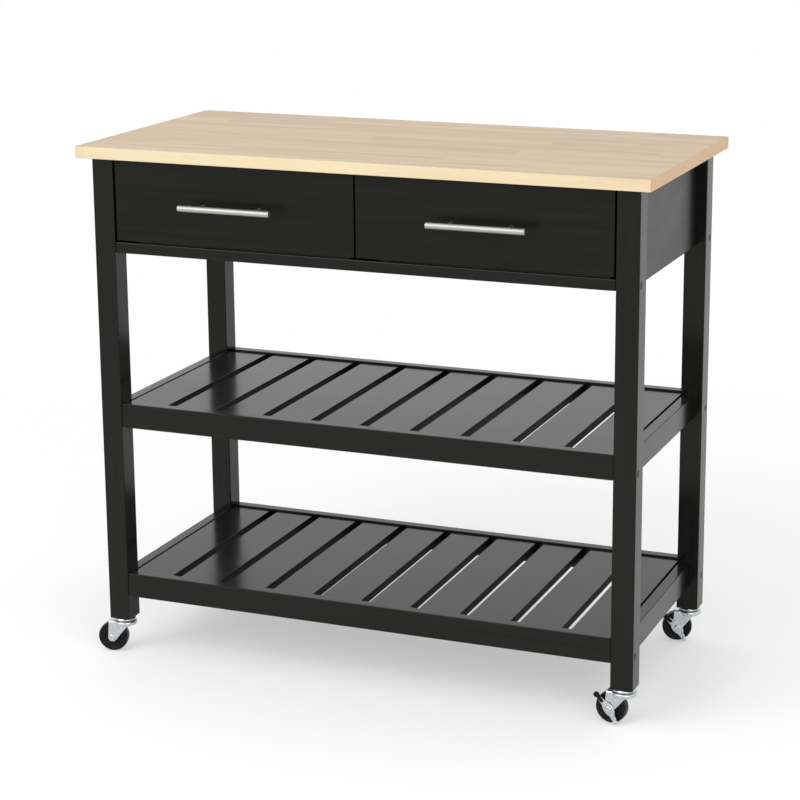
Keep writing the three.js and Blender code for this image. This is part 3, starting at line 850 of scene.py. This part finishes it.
def cheek_span(z):
    """The fork's edges in X at each height: the boss's circle, then straight lines to the crown.

    Below each tangent point the edge is the axle plus or minus sqrt(r^2 - (z - axle)^2); above
    it, the edge runs in a straight line to the heel or the toe at the crown.
    """
    axle = np.array([-AXLE_BACK, AXLE_HIGH])
    edges = []
    for corner, turn in (((HEEL_X, CROWN_HIGH), 1), ((TOE_X, CROWN_LOW - 1 * MM), -1)):
        away = np.array(corner) - axle
        angle = math.atan2(away[1], away[0]) + turn * math.acos(BOSS_RADIUS / np.hypot(*away))
        touch = axle + BOSS_RADIUS * np.array([math.cos(angle), math.sin(angle)])
        half = np.sqrt(np.maximum(BOSS_RADIUS**2 - (z - axle[1]) ** 2, 0))
        round_edge = axle[0] - turn * half
        slope = (corner[0] - touch[0]) / (corner[1] - touch[1])
        straight = touch[0] + slope * (np.minimum(z, corner[1]) - touch[1])
        edges.append(np.where(z < touch[1], round_edge, straight))
    return edges


def fork_sheet(origin, axes):
    """The pressed fork: a U of sheet, its width in X following the cheek's edges.

    The first parameter runs up one cheek, over a quarter circle and across the crown, and down
    the other cheek; the second runs from the heel to the toe. The inner wall is the outer one
    moved in along its normal by the sheet's thickness.
    """
    t = np.linspace(0, 1, 22)
    cheek_z = CHEEK_LOW + (CROWN_HIGH - CHEEK_BEND - CHEEK_LOW) * t**1.5
    up = np.stack([np.full_like(cheek_z, CHEEK_OUTER), cheek_z], -1)
    a = np.linspace(0, math.pi / 2, 9)[1:]
    turn = np.stack([np.cos(a), np.sin(a)], -1)
    over = np.array([CHEEK_OUTER, CROWN_HIGH]) - CHEEK_BEND + CHEEK_BEND * turn
    y = np.linspace(CHEEK_OUTER - CHEEK_BEND, 0, 5)[1:]
    across = np.stack([y, np.full_like(y, CROWN_HIGH)], -1)
    half = np.concatenate([up, over, across])
    normal = np.concatenate([
        np.tile([1.0, 0.0], (len(up), 1)), turn, np.tile([0.0, 1.0], (len(y), 1)),
    ])
    path = np.concatenate([half, half[-2::-1] * (-1, 1)])
    normal = np.concatenate([normal, normal[-2::-1] * (-1, 1)])
    heel, toe = cheek_span(path[:, 1])
    s = np.linspace(0, 1, 9)
    x = heel[:, None] * (1 - s) + toe[:, None] * s
    layers = []
    for depth in (0, CHEEK_OUTER - CHEEK_INNER):
        inset = path - normal * depth
        layers.append(np.stack(np.broadcast_arrays(x, inset[:, :1], inset[:, 1:]), -1))
    loops = np.concatenate([layers[0], layers[1][:, ::-1]], 1)
    rows, columns = loops.shape[:2]
    last = (rows - 1) * columns
    caps = [list(range(columns))[::-1], list(range(last, last + columns))]
    return tidy_shell(place(loops, origin, axes), grid_faces(rows, columns) + caps)


def caster_frame(spot):
    """A caster's origin on the floor under its king pin, and its own three directions."""
    swivel = joints[f"swivel_{spot}"]["pos_m"]
    rolling = np.array(joints[f"roll_{spot}"]["axis"], float)
    side = -rolling / np.linalg.norm(rolling)
    forward = np.cross(side, (0, 0, 1))
    return np.array([swivel[0], swivel[1], 0.0]), np.array([forward, side, (0.0, 0.0, 1.0)])


def pressed_crown(origin, axes, segments=72):
    """The fork's crown: a round dish of sheet whose skirt is deep except above the wheel.

    Each point is (r cos a, r sin a, top - drop * d(a)). The drop's share d eases by a smooth
    step from SHALLOW behind, where the wheel passes under, to 1 over the sides and the front.
    """
    dish = [(4.3, 0), (16.2, 0), (18.4, 0.5), (19.5, 2.2), (19.5, 5.2), (18.6, 7.4),
            (17.2, 7.4), (17.4, 3.4), (15.6, 2.7), (4.3, 2.7)]
    profile = soften(np.array(dish) * MM, 0.9 * MM)
    a = np.linspace(0, 2 * math.pi, segments, endpoint=False)
    from_rear = np.abs(a - math.pi)
    t = np.clip((from_rear - WHEEL_SIDE) / (SKIRT_SIDE - WHEEL_SIDE), 0, 1)
    share = SHALLOW + (1 - SHALLOW) * t * t * (3 - 2 * t)
    radius, drop = profile[:, :1], profile[:, 1:]
    points = np.stack(np.broadcast_arrays(
        radius * np.cos(a), radius * np.sin(a), CROWN_HIGH - drop * share
    ), -1)
    shell = place(points, origin, axes)
    return tidy_shell(shell, grid_faces(len(profile), segments, around=True))


def make_stem(spot, origin, axes):
    """The bearing race with its undercut rim, the king pin below it and the post above it."""
    race = soften([(0, RACE_LOW), (15.2 * MM, RACE_LOW), (15.8 * MM, RACE_LOW + 0.9 * MM),
                   (17.6 * MM, RACE_LOW + 1.0 * MM), (18.5 * MM, RACE_LOW + 1.9 * MM),
                   (18.4 * MM, RACE_LOW + 3.3 * MM), (17.2 * MM, RACE_HIGH),
                   (0, RACE_HIGH + 0.1 * MM)], 0.6 * MM, ring=False)
    pin = [(0, 49.2), (5.5, 49.2), (6, 50.2), (6, 51.35), (4, 51.35), (4, 57), (0, 57)]
    post = [(0, 58), (5, 58), (5, 94.5), (0, 94.5)]
    shells = [turned(race, origin, axes)] + [
        turned(soften(np.array(line) * MM, cut * MM, ring=False), origin, axes)
        for line, cut in ((pin, 0.3), (post, 0.5))
    ]
    stand_for(f"caster_stem_{spot}", f"bearing_race_{spot}", shells, zinc_plate, "zinc_plate")


def make_fork(spot, origin, axes, braked):
    """The crown, the fork's sheet, and the axle with its riveted heads.

    A braked caster's axle reaches out past the lever, whose head sits flat on it.
    """
    along = np.array([axes[2], axes[0], axes[1]])
    axle_place = axle_of(origin, axes)
    near_face, far_face = -CHEEK_OUTER - (LEVER_SPACE if braked else 0.0), CHEEK_OUTER
    axle = soften([(0, near_face - 1 * MM), (3.9 * MM, near_face - 1 * MM),
                   (3.9 * MM, far_face + 1 * MM), (0, far_face + 1 * MM)], 0.3 * MM, ring=False)
    shells = [pressed_crown(origin, axes), fork_sheet(origin, axes),
              turned(axle, axle_place, along, 28)]
    rivet = [(0, -0.4), (5.4, -0.4), (5.4, 0.7), (4.2, 1.8), (1.6, 2), (1.2, 1.4), (0, 1.3)]
    for face, sign in ((near_face, -1), (far_face, 1)):
        head = soften(np.array(rivet) * MM, 0.4 * MM, ring=False)
        where = axle_place + axes[1] * face
        facing = np.array([axes[2], sign * axes[0], sign * axes[1]])
        if sign < 0 and braked:
            head[:, 1] = np.maximum(head[:, 1], 0)
        shells.append(turned(head, where, facing, 28))
    stand_for(f"caster_fork_{spot}", f"pressed_fork_{spot}", shells, zinc_plate, "zinc_plate")


def make_wheel(spot, origin, axes):
    """A solid wheel: a slightly crowned tread, round shoulders, ringed sides and a raised hub."""
    tread = [(24.6, -6.6), (25.0, 0.0), (24.6, 6.6)]
    face = [(23.0, 8.6), (21.2, 9.0), (19.0, 9.0), (18.2, 7.6), (15.6, 7.2), (14.8, 8.0),
            (13.6, 8.0), (12.8, 6.8), (11.2, 6.6), (10.2, 8.8), (9.4, 9.0), (4.4, 9.0)]
    loop = [(r, -w) for r, w in face[::-1]] + tread + face
    profile = soften(np.array(loop) * MM, 0.9 * MM, steps=3)
    along = np.array([axes[2], axes[0], axes[1]])
    stand_for(f"caster_wheel_{spot}", f"moulded_wheel_{spot}",
              [turned(profile, axle_of(origin, axes), along, 72)], black_wheel, "black_wheel")


def link(first, first_radius, second, second_radius, steps=18):
    """The outline round two circles: an arc about each, joined along their common tangents."""
    first, second = np.array(first), np.array(second)
    away = second - first
    along = math.atan2(away[1], away[0])
    spread = math.acos((first_radius - second_radius) / np.hypot(*away))
    a = np.linspace(along + spread, along - spread + 2 * math.pi, steps)
    b = np.linspace(along - spread, along + spread, steps)
    outline = np.concatenate([
        first + first_radius * np.stack([np.cos(a), np.sin(a)], -1),
        second + second_radius * np.stack([np.cos(b), np.sin(b)], -1),
    ])
    return outline, outward(outline)


ARM_ROOT, OVAL_LENGTH, OVAL_WIDTH = 5.6 * MM, 13.5 * MM, 8.2 * MM
# Each arm's angle up from straight back, its reach from the axle and its end's radius.
TIP_ARM = (math.radians(180 - 134), 29 * MM, 3.0 * MM)
FOOT_ARM = (math.radians(180 + 58), 22 * MM, 3.2 * MM)
SLEEVE_TIP, SLEEVE_ROOT, SLEEVE_START = 3.6 * MM, 3.3 * MM, 0.58


def make_lever(spot, origin, axes):
    """The brake lever: two tapered arms, an oval middle and a round foot, and its dark tip.

    The oval's points are (length * cos t, width * sin t), turned along the two arms' line. The
    tip is an eyelet with a sleeve that covers the outer part of its arm.
    """
    axle_place = axle_of(origin, axes)
    across = np.array([-axes[0], axes[2], -axes[1]])
    near, far = CHEEK_OUTER + LEVER_PLAY, CHEEK_OUTER + LEVER_PLAY + LEVER_DEPTH
    shells = []
    tips = [(reach * math.cos(a), reach * math.sin(a)) for a, reach, _ in (TIP_ARM, FOOT_ARM)]
    for tip, (_, _, radius) in zip(tips, (TIP_ARM, FOOT_ARM)):
        outline, normals = link((0, 0), ARM_ROOT, tip, radius)
        shells.append(plate(outline, normals, near, far - 0.5 * MM, 0.7 * MM, axle_place, across))
    lie = math.atan2(tips[0][1] - tips[1][1], tips[0][0] - tips[1][0])
    t = np.linspace(0, 2 * math.pi, 56, endpoint=False)
    turn = np.array([[math.cos(lie), math.sin(lie)], [-math.sin(lie), math.cos(lie)]])
    oval = np.stack([OVAL_LENGTH * np.cos(t), OVAL_WIDTH * np.sin(t)], -1) @ turn
    shells.append(plate(oval, outward(oval), near, far + 0.2 * MM, 1.1 * MM, axle_place, across))
    eyelet = soften([(1.6 * MM, near - 0.1 * MM), (4.3 * MM, near - 0.1 * MM),
                     (4.3 * MM, near + 4.9 * MM), (1.6 * MM, near + 4.9 * MM)], 1.2 * MM)
    foot = soften([(0, near), (3.9 * MM, near), (3.9 * MM, near + 4.6 * MM),
                   (0, near + 4.9 * MM)], 1.4 * MM, ring=False)
    eyelet_place, foot_place = (
        axle_place + place((*tip, 0), (0, 0, 0), across) for tip in tips
    )
    shells.append(turned(foot, foot_place, across, 28))
    sleeve, normals = link(tips[0], SLEEVE_TIP, np.array(tips[0]) * SLEEVE_START, SLEEVE_ROOT)
    sleeve = plate(sleeve, normals, near - 0.1 * MM, far + 0.1 * MM, 0.9 * MM, axle_place, across)
    node = f"brake_lever_{spot}"
    stand_for(node, f"pressed_brake_lever_{spot}", shells, zinc_plate, "zinc_plate")
    make_piece(f"brake_tip_{spot}", [turned(eyelet, eyelet_place, across, 32), sleeve],
               black_wheel, "black_wheel", frame["nodes"][node]["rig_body"])


for end in ENDS:
    for side in SIDES:
        spot = f"{end}_{side}"
        braked = side == "right"
        origin, axes = caster_frame(spot)
        make_stem(spot, origin, axes)
        make_fork(spot, origin, axes, braked)
        make_wheel(spot, origin, axes)
        if braked:
            make_lever(spot, origin, axes)

# ---- Studio: a plain pale floor, white surroundings and soft lights ----

WHITE, FLOOR_GREY = (1, 1, 1, 1), (0.62, 0.62, 0.62, 1)
FLOOR_LIFT, FLOOR_GLOW = 0.4, 1.0
FLOOR_RINGS, FLOOR_FADE = (2.0, 6.0, 30.0), (0.9, 1.9)
WORLD_LIT, WORLD_SEEN = 0.84, 1.08
AIM = (0.0, 0.0, 0.5)
# Each softbox's place, the length of its side and its power.
SOFTBOXES = {
    "key_softbox": ((-1.6, -3.0, 2.6), 2.6, 60.0),
    "fill_softbox": ((2.4, -2.6, 1.6), 1.8, 25.0),
}


def make_floor(segments=96):
    """A wide pale disc, lit a little from within like a light table; unseen from below.

    Each point is a ring's radius times (cos a, sin a) at height zero.
    """
    a = np.linspace(0, 2 * math.pi, segments, endpoint=False)
    circle = np.stack([np.cos(a), np.sin(a), np.zeros_like(a)], -1)
    points = (np.array(FLOOR_RINGS)[:, None, None] * circle).reshape(-1, 3)
    bands = [face[::-1] for face in grid_faces(len(FLOOR_RINGS), segments)]
    mesh = bpy.data.meshes.new("studio_floor")
    mesh.from_pydata(points.tolist(), [], [list(range(segments))] + bands)
    material = bpy.data.materials.new("studio_floor_white")
    material.use_nodes = True
    tree = material.node_tree
    tree.nodes.clear()
    matt = wire(tree, "ShaderNodeBsdfDiffuse", {"Color": FLOOR_GREY}).outputs[0]
    lift = wire(tree, "ShaderNodeEmission", {"Color": WHITE, "Strength": FLOOR_LIFT}).outputs[0]
    near = wire(tree, "ShaderNodeAddShader", {0: matt, 1: lift}).outputs[0]
    glow = wire(tree, "ShaderNodeEmission", {"Color": WHITE, "Strength": FLOOR_GLOW}).outputs[0]
    clear = wire(tree, "ShaderNodeBsdfTransparent").outputs[0]
    distance = wire(
        tree, "ShaderNodeVectorMath", {0: object_vector(tree)}, operation="LENGTH"
    ).outputs["Value"]
    fade = wire(tree, "ShaderNodeMixShader", {0: span(tree, distance, *FLOOR_FADE), 1: near,
                                              2: glow}).outputs[0]
    below = wire(tree, "ShaderNodeNewGeometry").outputs["Backfacing"]
    shown = wire(tree, "ShaderNodeMixShader", {0: below, 1: fade, 2: clear}).outputs[0]
    wire(tree, "ShaderNodeOutputMaterial", {"Surface": shown})
    mesh.materials.append(material)
    floor = bpy.data.objects.new("studio_floor", mesh)
    scene.collection.objects.link(floor)


def make_softbox(name, where, size, power):
    """A square soft light aimed at the cart's middle."""
    data = bpy.data.lights.new(name, "AREA")
    data.shape = "SQUARE"
    data.size = size
    data.energy = power
    light = bpy.data.objects.new(name, data)
    scene.collection.objects.link(light)
    light.location = where
    light.rotation_euler = (Vector(AIM) - Vector(where)).to_track_quat("-Z", "Y").to_euler()


def make_surroundings():
    """White all round to the camera and in reflections, and dimmer where it lights by itself."""
    world = bpy.data.worlds.new("studio_white")
    scene.world = world
    world.use_nodes = True
    tree = world.node_tree
    tree.nodes.clear()
    diffuse = wire(tree, "ShaderNodeLightPath").outputs["Is Diffuse Ray"]
    lit, seen = (
        wire(tree, "ShaderNodeBackground", {"Color": WHITE, "Strength": strength}).outputs[0]
        for strength in (WORLD_LIT, WORLD_SEEN)
    )
    mixed = wire(tree, "ShaderNodeMixShader", {0: diffuse, 1: seen, 2: lit}).outputs[0]
    wire(tree, "ShaderNodeOutputWorld", {"Surface": mixed})


make_floor()
make_surroundings()
for name, (where, size, power) in SOFTBOXES.items():
    make_softbox(name, where, size, power)
scene.view_settings.view_transform = "Standard"
